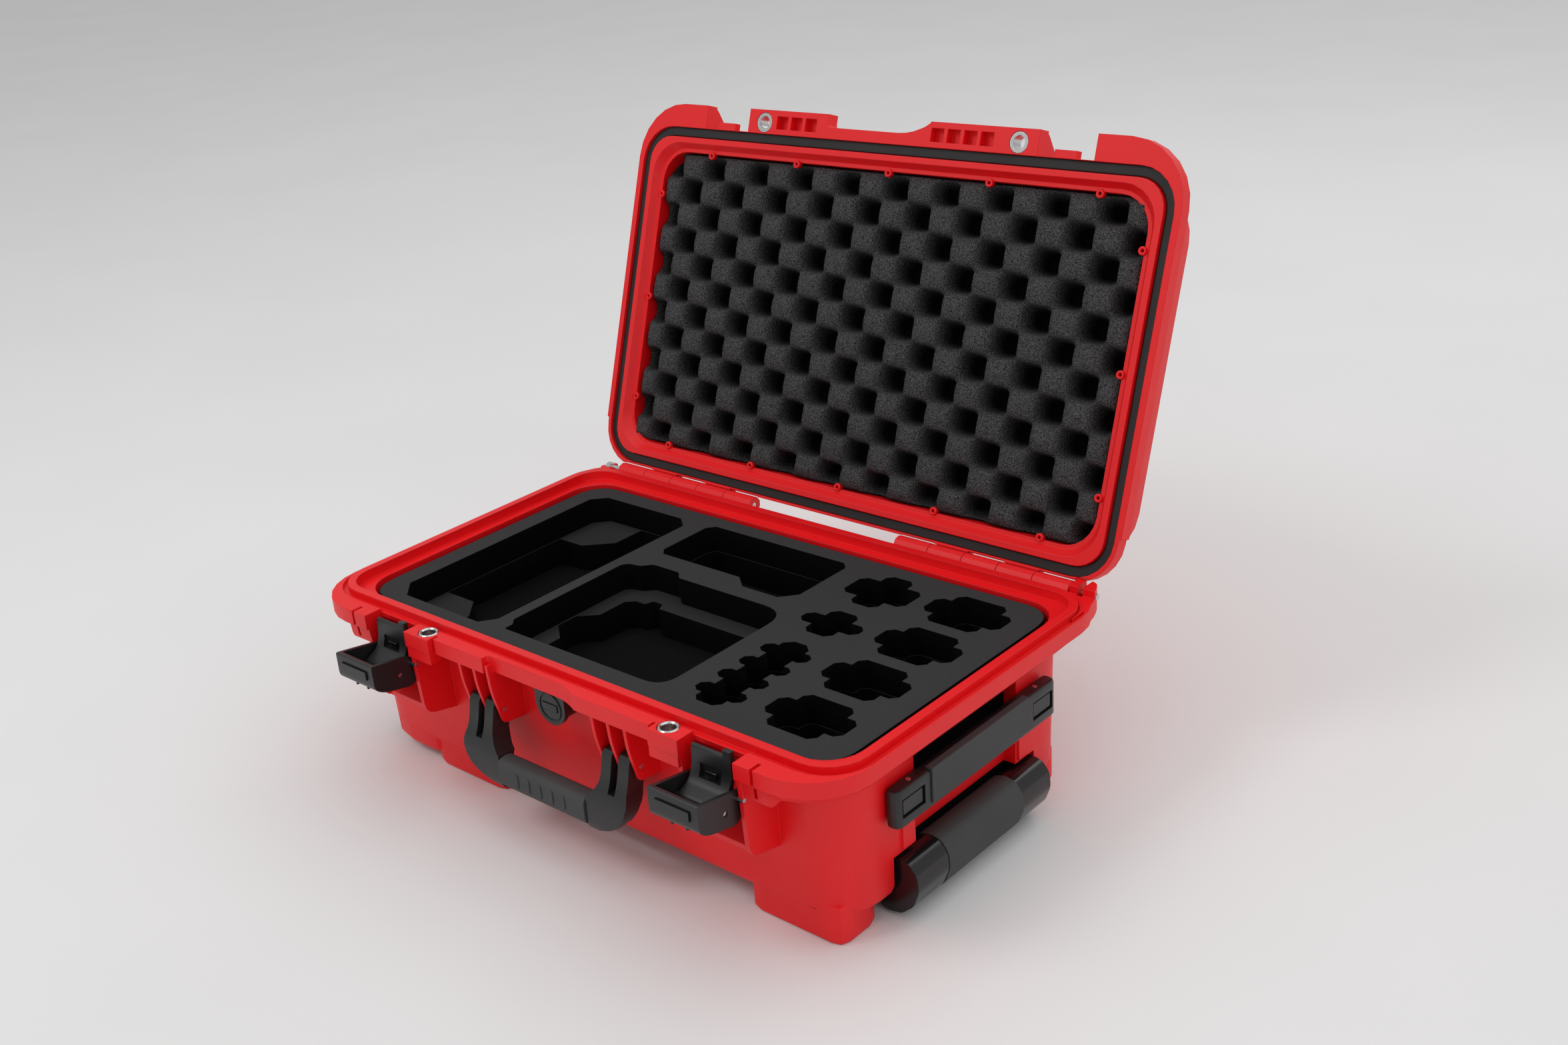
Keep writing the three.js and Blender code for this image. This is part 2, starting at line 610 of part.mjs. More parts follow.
function sideHandle() {
  const { x, depth, halfY, z0, z1 } = SIDE;
  const plan = rounded([
    [x - depth, -halfY], [x, -halfY], [x, halfY], [x - depth, halfY],
  ], [3, 6, 6, 3]);
  const grip = SIDE_GRIP;
  const cut = box([grip.x[0] - GAP, 300], [-grip.halfY - GAP, grip.halfY + GAP],
    [grip.z[0] - GAP, 300]);
  const windows = SIDES.map((side) => box([200, 300],
    [side * POST.y - 13, side * POST.y + 13],
    [SIDE_MID_Z - POST.halfZ - 2, SIDE_MID_Z + POST.halfZ + 2]));
  const pins = SIDES.map((side) =>
    rod('z', 2 + GAP, [z1 - 7, 300], [x - 6, side * 78], 10));
  const body = slab(plan, [z0, z1], 3, 2);
  const bridges = SIDES.map((side) => box([x - depth + 1, x - depth + 4],
    [side * POST.y - 14, side * POST.y + 14],
    [SIDE_MID_Z - POST.halfZ - 3, SIDE_MID_Z + POST.halfZ + 3]));
  return less(less(body, windows).add(union(bridges)), [cut, ...pins,
    ...SIDES.map((side) => postSolid(side, GAP))]);
}

function postSolid(side, grown = 0) {
  return box([POST.inner, SIDE.x - 1],
    [side * POST.y - POST.halfY - grown, side * POST.y + POST.halfY + grown],
    [SIDE_MID_Z - POST.halfZ - grown, SIDE_MID_Z + POST.halfZ + grown]);
}

// ---- trolley handle -----------------------------------------------------
const TUBE = { inner: 4.5, middle: 6, start: -214, end: 255 };
const SLEEVE_HALF = 47;

function trolleySection(scale) {
  const centre = [259, -130];
  const points = [
    [241, -138], [244, -120], [252, -109], [262, -106], [271, -108], [277, -116],
    [278, -128], [273, -142], [262, -152], [248, -154], [242, -150],
  ];
  return rounded(points.map(([x, z]) => [
    centre[0] + (x - centre[0]) * scale, LIP_Z + centre[1] + (z - centre[1]) * scale,
  ]), 3);
}

function trolleyCore(grown = 0) {
  return box([249 - grown, 268 + grown], [-60, 60],
    [LIP_Z - 145 - grown, LIP_Z - 115 + grown]);
}

function trolleyGrip() {
  const y = TROLLEY.halfY;
  const caps = SIDES.map((side) => alongY(trolleySection(1),
    side > 0 ? [SLEEVE_HALF + GAP, y] : [-y, -SLEEVE_HALF - GAP], 2));
  const button = box([263.5, 290], [-76.3, -57.7], [LIP_Z - 152, LIP_Z - 138.7]);
  const sockets = SIDES.map((side) => rod('x', TUBE.inner + GAP, [230, TUBE.end + GAP],
    [side * TROLLEY.tubeY, TROLLEY.tubeZ], 12));
  return less(union([...caps, trolleyCore()]), [button, ...sockets]);
}

function trolleySleeve() {
  return alongY(trolleySection(1.03), [-SLEEVE_HALF, SLEEVE_HALF], 2)
    .subtract(trolleyCore(GAP));
}

function trolleyButton() {
  const reach = box([266.5, 290], [-76, -58], [LIP_Z - 151, LIP_Z - 139]);
  return alongY(trolleySection(1), [-80, -50], 2).intersect(reach);
}

function channelHousing() {
  const [x0, x1, y] = [-221, 235, 72];
  const plate = slab(rounded([[x0, -y], [x1, -y], [x1, y], [x0, y]], 8),
    [2.5, BODY_BOTTOM_Z - 0.5], 2);
  return less(plate, SIDES.map((side) =>
    rod('x', TUBE.middle + GAP, [-217, 240], [side * TROLLEY.tubeY, TROLLEY.tubeZ], 12)));
}

function tube(radius, bore, span, y) {
  const outer = rod('x', radius, span, [y, TROLLEY.tubeZ], 12);
  return bore ? outer.subtract(rod('x', bore, [span[0] - 1, span[1] + 1],
    [y, TROLLEY.tubeZ], 12)) : outer;
}

// ---- wheels -------------------------------------------------------------
function wheelRing(profile, y) {
  return solid(turned(profile, 20).translate(WHEEL.x, y, WHEEL.z));
}

function tyre(y) {
  const half = WHEEL.width / 2;
  const r = WHEEL.radius;
  return wheelRing([
    [16, -half + 1], [r - 4, -half], [r, -half + 5], [r, half - 5], [r - 4, half],
    [16, half - 1], [16, -half + 1],
  ], y);
}

function hub(y) {
  const half = WHEEL.width / 2;
  return wheelRing([
    [4.3, -half], [8, -half], [8, -4], [12.5, -4], [12.5, -half + 1], [15.7, -half + 1],
    [15.7, half - 1], [12.5, half - 1], [12.5, 4], [8, 4], [8, half], [4.3, half],
    [4.3, -half],
  ], y);
}

// ---- pressure valve -----------------------------------------------------
function valveShape(half) {
  const shape = new THREE.Shape();
  shape.moveTo(half, LIP_Z - 18);
  shape.lineTo(-half, LIP_Z - 18);
  shape.lineTo(-half, LIP_Z - 31);
  shape.absarc(0, LIP_Z - 31, half, Math.PI, Math.PI * 2);
  return shape;
}

function valveBody() {
  return alongY(valveShape(14), [-156.5, -141.6], 6)
    .add(rod('y', 8.6, [-142, -137.2], [0, LIP_Z - 32], 16));
}

function valveFace() {
  return alongY(valveShape(16), [-161, -156.8], 6);
}

// ---- foam ---------------------------------------------------------------
const PLUS = 5; // corner chamfer of the plus-shaped pockets

// Two crossing rectangles about a centre, with their corners cut off.
function plusPocket([x, y], [wideX, wideY], [tallX, tallY], zSpan) {
  const bar = (halfX, halfY) => {
    const [nearX, nearY] = [halfX - PLUS, halfY - PLUS];
    return slab(outline([
      [x - nearX, y - halfY], [x + nearX, y - halfY], [x + halfX, y - nearY],
      [x + halfX, y + nearY], [x + nearX, y + halfY], [x - nearX, y + halfY],
      [x - halfX, y + nearY], [x - halfX, y - nearY],
    ]), zSpan, 1);
  };
  return bar(wideX, wideY).add(bar(tallX, tallY));
}

const LONG_POCKET = [
  [-231, 106], [-219, 118], [-126, 118], [-113, 107], [-113, -110], [-123, -123],
  [-214, -123], [-226, -111],
];
const LONG_LOWER = [
  [-231, 64], [-202, 64], [-179, 85], [-179, 118], [-126, 118], [-113, 107], [-113, -110],
  [-123, -123], [-178, -123], [-178, -90], [-197, -69], [-228, -69],
];
const REAR_POCKET = [
  [-92, 114], [-86, 121], [57, 121], [64, 114], [64, 55], [52, 42], [15, 42], [1, 54],
  [-86, 54], [-92, 61],
];
const MAIN_POCKET = [
  [-100, 18], [-96, 23], [-85, 25], [-78, 33], [-48, 33], [-41, 25], [77, 25],
  [77, -118], [-95, -119],
];
const MAIN_CORNERS = [2, 3, 3, 4, 4, 3, 25, 18, 2];
const MAIN_LOWER = [
  [-84.6, 2], [-77, 8], [-67, 8], [-64, 16], [-54, 16], [-50, 8], [77, 8], [77, -118],
  [-81.6, -119], [-81.6, -75], [-96, -64], [-97, -40], [-84.6, -27],
];
const BATTERY_Y = [98, 35, -28, -91];

function smallPockets(zSpan) {
  const batteries = BATTERY_Y.map((y) =>
    plusPocket([195, y], [35, 12.5], [22.5, 25], zSpan));
  const controller = plusPocket([117, 94], [30, 15], [13, 27.5], zSpan);
  const charger = plusPocket([118, 29], [28, 8], [13, 20.5], zSpan);
  const teeth = [-28, -52, -76, -100].map((y) =>
    slab(rounded([[98, y - 6], [142, y - 6], [142, y + 6], [98, y + 6]], 3), zSpan, 1));
  const spine = slab(rounded([[107, -118], [132, -118], [132, -10], [107, -10]], 7), zSpan, 1);
  return [...batteries, controller, charger, union([spine, ...teeth])];
}

function foamLayer([z0, z1], pockets, inset = 0) {
  const shape = roundRect(FOAM_HALF[0] - inset, FOAM_HALF[1] - inset, 26 + inset);
  const block = slab(shape, [z0, z1 - GAP], 3);
  const posts = SIDES.map((side) => box([POST.boss - 1, 300],
    [side * POST.y - POST.halfY - 4, side * POST.y + POST.halfY + 4],
    [0, SIDE_MID_Z + POST.halfZ + 4]));
  const bumps = [TROLLEY_RECESS, HANDLE_RECESS, ...WHEEL_RECESSES]
    .map((recess) => recessBox(recess, WALL + 1));
  return less(block, [...bumps, ...posts, ...pockets]);
}

function foamTop() {
  const [z0, z1] = [FOAM_LEVELS[2], FOAM_LEVELS[3]];
  const cut = [z0 - 5, z1 + 5];
  return foamLayer([z0, z1], [
    slab(outline(LONG_POCKET), cut), slab(rounded(REAR_POCKET, 1.5), cut, 1),
    slab(rounded(MAIN_POCKET, MAIN_CORNERS), cut, 3), ...smallPockets(cut),
  ]);
}

function foamMiddle() {
  const [z0, z1] = [FOAM_LEVELS[1], FOAM_LEVELS[2]];
  const cut = [z0 - 5, z1 + 5];
  return foamLayer([z0, z1], [
    slab(outline(LONG_LOWER), cut), slab(outline(REAR_POCKET), cut),
    slab(outline(MAIN_LOWER), cut), ...smallPockets(cut),
  ]);
}

// Each cut layer is made as four strips, so that every pocket has plain walls of its own.
const STRIP_EDGES = [-300, -106.5, 82, 153.5, 300];

function foamStrips(name, layer, look) {
  return STRIP_EDGES.slice(1).map((edge, i) => {
    const span = [STRIP_EDGES[i] + GAP / 2, edge - GAP / 2];
    const strip = layer.intersect(box(span, [-200, 200], [0, LIP_Z]));
    return toMesh(`${name}_strip_${i + 1}`, strip, look);
  });
}

function foamBottom() {
  return foamLayer([FOAM_LEVELS[0], FOAM_LEVELS[1]], [], 4);
}

// ---- assembly -----------------------------------------------------------
const model = new THREE.Group();

function group(parent, meshes) {
  const node = new THREE.Group();
  node.add(...meshes);
  parent.add(node);
  return node;
}

// Base and the pieces fixed in it.
group(model, [
  toMesh('base_shell', baseShell(), RED),
  toMesh('hinge_pin_left', rod('x', PIN_RADIUS, [-262, -80], [HINGE.y, HINGE.z], 12)
    .add(rod('x', PIN_HEAD.radius, PIN_HEAD.x, [HINGE.y, HINGE.z], 12)), STEEL),
  toMesh('hinge_pin_right', rod('x', PIN_RADIUS, [80, 268], [HINGE.y, HINGE.z], 12), STEEL),
  toMesh('valve_body', valveBody(), BLACK),
  toMesh('valve_face', valveFace(), BLACK),
  toMesh('foam_bottom', foamBottom(), FOAM_BLACK),
  ...foamStrips('foam_middle', foamMiddle(), FOAM_BLACK),
  ...foamStrips('foam_top', foamTop(), FOAM_GREY),
  toMesh('trolley_housing', channelHousing(), BLACK),
]);
SIDES.forEach((side) => {
  const name = side < 0 ? 'left' : 'right';
  const sleeve = toMesh(`base_bushing_${name}`,
    bushing([FLANGE_Z - 20, FLANGE_Z + 0.3]), STEEL);
  sleeve.position.set(side * BUSHING.x, BUSHING.y, 0);
  model.add(sleeve);
});

// Lid group, turned about the hinge line to its open stop.
const lid = group(model, [
  toMesh('lid_shell', lidShell(), RED),
  toMesh('lid_gasket', gasket(), RUBBER),
  toMesh('lid_foam', lidFoam(), FOAM_GREY),
]);
SIDES.forEach((side) => {
  const name = side < 0 ? 'left' : 'right';
  const sleeve = toMesh(`lid_bushing_${name}`, bushing([LID_Z + 0.2, LID_Z + 12.6]), STEEL);
  sleeve.position.set(side * BUSHING.x, BUSHING.y, 0);
  lid.add(sleeve);
});
const hinge = new THREE.Group();
lid.position.set(0, -HINGE.y, -HINGE.z);
hinge.add(lid);
hinge.position.set(0, HINGE.y, HINGE.z);
hinge.rotation.x = THREE.MathUtils.degToRad(-LID_OPEN);
model.add(hinge);

// Two claw latches.
SIDES.forEach((side) => {
  const name = side < 0 ? 'left' : 'right';
  const button = box([-15.5, 15.5], [-212.5, -203], [LIP_Z - 34.5, LIP_Z - 27.5]);
  const latch = group(model, [
    toMesh(`latch_${name}_lever`, lever(), BLACK),
    toMesh(`latch_${name}_claw`, claw(), BLACK),
    toMesh(`latch_${name}_release`, button, BLACK),
    toMesh(`latch_${name}_claw_pin`,
      rod('x', 2, [-22, 22], [LATCH.clawY, LATCH.clawZ], 10), STEEL),
    ...SIDES.map((end) => toMesh(`latch_${name}_pin_${end < 0 ? 'a' : 'b'}`,
      rod('x', 1.8, end < 0 ? [-29, -20.3] : [20.3, 29],
        [LATCH.pivotY, LATCH.pivotZ], 10), STEEL)),
  ]);
  latch.position.x = side * LATCH.x;
});

// Front carry handle.
group(model, [
  toMesh('handle_frame', handleFrame(), BLACK),
  toMesh('handle_grip', handleGrip(), GRIP),
  ...SIDES.map((side) => toMesh(`handle_pin_${side < 0 ? 'left' : 'right'}`,
    rod('x', 2, side < 0 ? [-92, -55.5] : [55.5, 92], [HANDLE.y, HANDLE.z], 10), STEEL)),
]);

// Side carry handle that pulls out on two posts.
group(model, [
  toMesh('side_handle', sideHandle(), BLACK),
  toMesh('side_handle_grip', box(SIDE_GRIP.x, [-SIDE_GRIP.halfY, SIDE_GRIP.halfY],
    SIDE_GRIP.z), GRIP),
  ...SIDES.flatMap((side) => {
    const name = side < 0 ? 'front' : 'rear';
    return [
      toMesh(`side_handle_post_${name}`, postSolid(side), BLACK),
      toMesh(`side_handle_pin_${name}`,
        rod('z', 2, [SIDE.z1 - 6.5, SIDE.z1 + 0.2], [SIDE.x - 6, side * 78], 10), STEEL),
    ];
  }),
]);

// Telescopic trolley handle.
group(model, [
  toMesh('trolley_grip', trolleyGrip(), BLACK),
  toMesh('trolley_sleeve', trolleySleeve(), GRIP),
  toMesh('trolley_button', trolleyButton(), BLACK),
  ...SIDES.flatMap((side) => {
    const name = side < 0 ? 'front' : 'rear';
    const y = side * TROLLEY.tubeY;
    return [
      toMesh(`trolley_inner_tube_${name}`, tube(TUBE.inner, 0, [TUBE.start + 2, TUBE.end], y),
        ALUMINIUM),
      toMesh(`trolley_middle_tube_${name}`,
        tube(TUBE.middle, TUBE.inner + GAP, [TUBE.start, 235], y), ALUMINIUM),
    ];
  }),
]);

// Wheels at the other end.
SIDES.forEach((side) => {
  const name = side < 0 ? 'front' : 'rear';
  const y = side * WHEEL.y;
  group(model, [
    toMesh(`wheel_${name}_tyre`, tyre(y), RUBBER),
    toMesh(`wheel_${name}_hub`, hub(y), BLACK),
    toMesh(`wheel_${name}_axle`, rod('y', 4, [y - 17.5, y + 17.5], [WHEEL.x, WHEEL.z], 14),
      STEEL),
  ]);
});

export default model;
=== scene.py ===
"""Looks for the wheeled drone case: materials, foam, small details, floor, light and camera."""

import json
import math

import bmesh
import bpy
from mathutils import Matrix, Vector, noise


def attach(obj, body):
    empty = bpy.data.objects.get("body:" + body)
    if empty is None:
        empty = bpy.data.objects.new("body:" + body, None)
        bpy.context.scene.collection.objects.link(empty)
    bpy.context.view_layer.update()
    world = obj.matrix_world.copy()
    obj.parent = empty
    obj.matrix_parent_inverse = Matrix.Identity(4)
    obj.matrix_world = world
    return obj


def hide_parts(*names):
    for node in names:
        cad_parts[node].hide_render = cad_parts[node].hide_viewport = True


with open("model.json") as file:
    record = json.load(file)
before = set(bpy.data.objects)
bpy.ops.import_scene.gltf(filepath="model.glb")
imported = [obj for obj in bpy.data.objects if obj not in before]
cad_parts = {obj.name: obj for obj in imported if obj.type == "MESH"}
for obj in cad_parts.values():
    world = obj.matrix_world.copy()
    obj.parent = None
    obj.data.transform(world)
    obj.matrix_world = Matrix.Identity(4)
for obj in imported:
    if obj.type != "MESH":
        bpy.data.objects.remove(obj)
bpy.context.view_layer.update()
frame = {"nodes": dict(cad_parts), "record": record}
NODES = frame["nodes"]
MM = 0.001

# Levels shared by the pieces below, in millimetres above the floor.
LIP_Z = 157.0
FOAM_TOP = LIP_Z - 10.0
HINGE = Vector((0.0, 166.0, LIP_Z - 5.0)) * MM
LID_OPEN = math.radians(108.5)


# ---- materials ---------------------------------------------------------------
def new_material(name, colour, roughness, **sockets):
    """A principled material and its tree, with plain values on the shader's own sockets."""
    mat = bpy.data.materials.new(name)
    mat.use_nodes = True
    shader = mat.node_tree.nodes["Principled BSDF"]
    shader.inputs["Base Color"].default_value = (*colour, 1.0)
    shader.inputs["Roughness"].default_value = roughness
    for socket, value in sockets.items():
        shader.inputs[socket.replace("_", " ")].default_value = value
    return mat, mat.node_tree, shader


def add_node(tree, kind, **settings):
    node = tree.nodes.new(kind)
    for key, value in settings.items():
        if key in node.inputs:
            node.inputs[key].default_value = value
        else:
            setattr(node, key, value)
    return node


def object_noise(tree, scale, detail=2.0, roughness=0.5):
    """Noise over the object's own coordinates; scale is in features per metre."""
    where = add_node(tree, "ShaderNodeTexCoord")
    texture = add_node(tree, "ShaderNodeTexNoise", Scale=scale, Detail=detail, Roughness=roughness)
    tree.links.new(where.outputs["Object"], texture.inputs["Vector"])
    return texture.outputs["Fac"]


def object_cells(tree, scale, feature="F1"):
    where = add_node(tree, "ShaderNodeTexCoord")
    texture = add_node(tree, "ShaderNodeTexVoronoi", feature=feature, Scale=scale)
    tree.links.new(where.outputs["Object"], texture.inputs["Vector"])
    return texture.outputs["Distance"]


def vary_roughness(tree, shader, fac, low, high):
    spread = add_node(tree, "ShaderNodeMapRange")
    spread.inputs["To Min"].default_value = low
    spread.inputs["To Max"].default_value = high
    tree.links.new(fac, spread.inputs["Value"])
    tree.links.new(spread.outputs["Result"], shader.inputs["Roughness"])


def vary_colour(tree, shader, fac, stops):
    ramp = add_node(tree, "ShaderNodeValToRGB")
    elements = ramp.color_ramp.elements
    while len(elements) < len(stops):
        elements.new(0.5)
    for element, (place, colour) in zip(elements, stops):
        element.position = place
        element.color = (*colour, 1.0)
    tree.links.new(fac, ramp.inputs["Fac"])
    tree.links.new(ramp.outputs["Color"], shader.inputs["Base Color"])


def bump(tree, shader, height, strength, distance_mm, edge_mm=0.0):
    """Surface relief, over edges softened by a small radius where edge_mm is given."""
    relief = add_node(tree, "ShaderNodeBump")
    relief.inputs["Strength"].default_value = strength
    relief.inputs["Distance"].default_value = distance_mm * MM
    tree.links.new(height, relief.inputs["Height"])
    if edge_mm:
        soft = add_node(tree, "ShaderNodeBevel", samples=6)
        soft.inputs["Radius"].default_value = edge_mm * MM
        tree.links.new(soft.outputs["Normal"], relief.inputs["Normal"])
    tree.links.new(relief.outputs["Normal"], shader.inputs["Normal"])


def moulded(name, colour, worn, roughness, grain, edge_mm, **sockets):
    """Moulded plastic: fine spark texture, faint colour drift and patchy gloss."""
    mat, tree, shader = new_material(name, colour, roughness, **sockets)
    drift = object_noise(tree, 14.0, 3.0)
    vary_colour(tree, shader, drift, [(0.3, colour), (0.75, worn)])
    vary_roughness(tree, shader, object_noise(tree, 60.0, 4.0), roughness - 0.05, roughness + 0.07)
    bump(tree, shader, object_noise(tree, grain, 2.0, 0.6), 0.25, 0.06, edge_mm)
    return mat


def turned_metal(name, colour, roughness, grain):
    mat, tree, shader = new_material(name, colour, roughness, Metallic=1.0)
    vary_roughness(tree, shader, object_noise(tree, grain, 4.0, 0.7), roughness - 0.08, roughness + 0.12)
    bump(tree, shader, object_noise(tree, grain * 3.0, 2.0), 0.2, 0.02, 0.25)
    return mat


def darken(tree, shader, fac, colour):
    """Moves the base colour towards another one by a factor; used to paint shade."""
    source = shader.inputs["Base Color"].links[0].from_socket
    mix = add_node(tree, "ShaderNodeMix", data_type="RGBA")
    tree.links.new(fac, mix.inputs["Factor"])
    tree.links.new(source, mix.inputs[6])
    mix.inputs[7].default_value = (*colour, 1.0)
    tree.links.new(mix.outputs[2], shader.inputs["Base Color"])


def steepness(tree):
    """1 on upright walls and 0 on level faces, in the object's own frame; the mask for painted shade on foam
    walls.
    """
    where = add_node(tree, "ShaderNodeTexCoord")
    split = add_node(tree, "ShaderNodeSeparateXYZ")
    tree.links.new(where.outputs["Normal"], split.inputs[0])
    spread = add_node(tree, "ShaderNodeMapRange")
    spread.inputs["From Min"].default_value = 0.5
    spread.inputs["From Max"].default_value = 0.9
    spread.inputs["To Min"].default_value = 1.0
    spread.inputs["To Max"].default_value = 0.0
    tree.links.new(split.outputs["Z"], spread.inputs["Value"])
    return spread.outputs["Result"]


def stored_depth(tree):
    """How deep in a pit the surface lies, from 0 to 1, as stored on the mesh; the mask for painted shade in
    the lid foam's pits.
    """
    return add_node(tree, "ShaderNodeAttribute", attribute_name="pit_depth").outputs["Fac"]


def foam(name, dark, light, cell, strength, depth_mm, shade=None):
    """Foam: a mat skin of tiny cells; where a mask is given, painted shade makes the faces it picks (upright
    walls, pits) far darker than the rest.
    """
    mat, tree, shader = new_material(name, dark, 0.95)
    shader.inputs["Specular IOR Level"].default_value = 0.08
    grain = object_noise(tree, cell, 3.0, 0.75)
    vary_colour(tree, shader, grain, [(0.35, dark), (0.62, light)])
    # Painted shade: the mask pulls the base colour towards near black.
    if shade:
        darken(tree, shader, shade(tree), PAINTED_FOAM_SHADE)
    bump(tree, shader, object_cells(tree, cell * 0.9), strength, depth_mm)
    return mat


# Near-black colour of the painted shade on foam walls and in the lid foam's pits.
PAINTED_FOAM_SHADE = (0.0015, 0.0015, 0.0016)
RED = moulded("red_shell", (0.80, 0.0, 0.003), (0.84, 0.0, 0.004), 0.48, 2600.0, 0.9)
BLACK = moulded("black_plastic", (0.008, 0.008, 0.009), (0.013, 0.013, 0.014), 0.36, 2200.0, 0.5)
GLOSS = moulded("gloss_black", (0.006, 0.006, 0.007), (0.009, 0.009, 0.010), 0.18, 900.0, 0.5)
GRIP = moulded("grip_rubber", (0.042, 0.042, 0.043), (0.054, 0.054, 0.055), 0.72, 1800.0, 0.8)
SEAL = moulded("seal_rubber", (0.010, 0.010, 0.010), (0.016, 0.016, 0.016), 0.6, 1500.0, 0.8)
TYRE = moulded("tyre_rubber", (0.014, 0.014, 0.014), (0.024, 0.024, 0.024), 0.8, 1200.0, 0.6)
STEEL = turned_metal("bright_steel", (0.62, 0.62, 0.62), 0.24, 700.0)
ALUMINIUM = turned_metal("aluminium", (0.62, 0.63, 0.64), 0.34, 500.0)
# The sheets' upright walls get painted shade through the steepness mask.
GREY_FOAM = foam("grey_foam", (0.036, 0.036, 0.037), (0.050, 0.050, 0.052), 2600.0, 0.35, 0.25, steepness)
# Black foam painted lighter, as lit, for the middle sheet's ledges; otherwise the same as the black foam.
LIT_BLACK_FOAM = foam("black_foam_painted_lit", (0.022, 0.022, 0.023), (0.034, 0.034, 0.035), 1500.0, 0.4, 0.3, steepness)
BLACK_FOAM = foam("black_foam", (0.003, 0.003, 0.003), (0.006, 0.006, 0.006), 1500.0, 0.4, 0.3)

LOOKS = {
    "red_shell": RED, "steel": STEEL, "black_plastic": BLACK, "gloss_black": GLOSS,
    "grip_rubber": GRIP, "seal_rubber": SEAL, "tyre": TYRE, "aluminium": ALUMINIUM,
    "grey_foam": GREY_FOAM, "black_foam": BLACK_FOAM,
}


# ---- CAD nodes ---------------------------------------------------------------
def dress_nodes():
    """Each CAD node gets its slot's material and smooth shading over shallow edges."""
    for entry in frame["record"]["subparts"]:
        node = NODES[entry["node"]]
        node.data.materials.clear()
        node.data.materials.append(LOOKS[entry["material_slot"]])
        for polygon in node.data.polygons:
            polygon.use_smooth = True
        weld = node.modifiers.new("weld", "WELD")
        weld.merge_threshold = 0.01 * MM
        split = node.modifiers.new("crease", "EDGE_SPLIT")
        split.split_angle = math.radians(32.0)


# ---- mesh helpers ------------------------------------------------------------
def piece(name, mesh, material, body):
    obj = bpy.data.objects.new(name, mesh)
    bpy.context.scene.collection.objects.link(obj)
    obj.data.materials.clear()
    obj.data.materials.append(material)
    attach(obj, body)
    return obj


def from_bmesh(name, bm, smooth=True):
    mesh = bpy.data.meshes.new(name)
    bm.to_mesh(mesh)
    bm.free()
    for polygon in mesh.polygons:
        polygon.use_smooth = smooth
    return mesh


def rounded_points(points, radius, steps=6):
    """Corner points rounded by quadratic curves."""
    out = []
    count = len(points)
    for i, point in enumerate(points):
        r = radius[i] if isinstance(radius, (list, tuple)) else radius
        here = Vector(point)
        before = Vector(points[i - 1]) - here
        after = Vector(points[(i + 1) % count]) - here
        start = here + before * min(r / before.length, 0.49)
        end = here + after * min(r / after.length, 0.49)
        if r == 0:
            out.append(here)
            continue
        for k in range(steps + 1):
            t = k / steps
            out.append(start * (1 - t) ** 2 + here * 2 * t * (1 - t) + end * t ** 2)
    return out


def sheet_mesh(name, loops, z_low, z_high, edge):
    """A flat slab with holes, from closed plan outlines in millimetres, its edges eased."""
    curve = bpy.data.curves.new(name, "CURVE")
    curve.dimensions = "2D"
    curve.fill_mode = "BOTH"
    curve.extrude = (z_high - z_low - 2 * edge) / 2 * MM
    curve.bevel_depth = edge * MM
    curve.bevel_resolution = 2
    curve.offset = -edge * MM
    for loop in loops:
        spline = curve.splines.new("POLY")
        spline.points.add(len(loop) - 1)
        for point, place in zip(spline.points, loop):
            point.co = (place[0] * MM, place[1] * MM, 0.0, 1.0)
        spline.use_cyclic_u = True
    holder = bpy.data.objects.new(name, curve)
    bpy.context.scene.collection.objects.link(holder)
    bpy.context.view_layer.update()
    mesh = bpy.data.meshes.new_from_object(holder)
    bpy.data.objects.remove(holder)
    mesh.transform(Matrix.Translation((0.0, 0.0, (z_low + z_high) / 2 * MM)))
    mesh.name = name
    return mesh


# ---- base foam ---------------------------------------------------------------
LONG_POCKET = [
    (-231, 106), (-219, 118), (-126, 118), (-113, 107), (-113, -110), (-123, -123),
    (-214, -123), (-231, -106),
]
LONG_LOWER = [
    (-231, 64), (-202, 64), (-179, 85), (-179, 118), (-126, 118), (-113, 107), (-113, -110),
    (-123, -123), (-178, -123), (-178, -90), (-197, -69), (-231, -69),
]
REAR_POCKET = [
    (-92, 114), (-86, 121), (57, 121), (64, 114), (64, 55), (52, 42), (15, 42), (1, 54),
    (-86, 54), (-92, 61),
]
MAIN_POCKET = [
    (-101, 18), (-97, 23), (-85, 25), (-78, 33), (-48, 33), (-41, 25), (77, 25),
    (77, -118), (-95, -119), (-95, -110), (-101, -104),
]
MAIN_CORNERS = [2, 3, 3, 3, 3, 3, 25, 18, 2, 2, 2]
MAIN_LOWER = [
    (-84.6, 2), (-77, 8), (-67, 8), (-64, 16), (-54, 16), (-50, 8), (77, 8), (77, -118),
    (-81.6, -119), (-81.6, -75), (-95, -64), (-100, -60), (-100, -40), (-84.6, -27),
]
BATTERY_Y = (98, 35, -28, -91)
FOAM_HALF = (251.0, 136.5)
FOAM_CORNER = 30
FOAM_FLOOR = 24.8
LAYER_GAP = 0.3


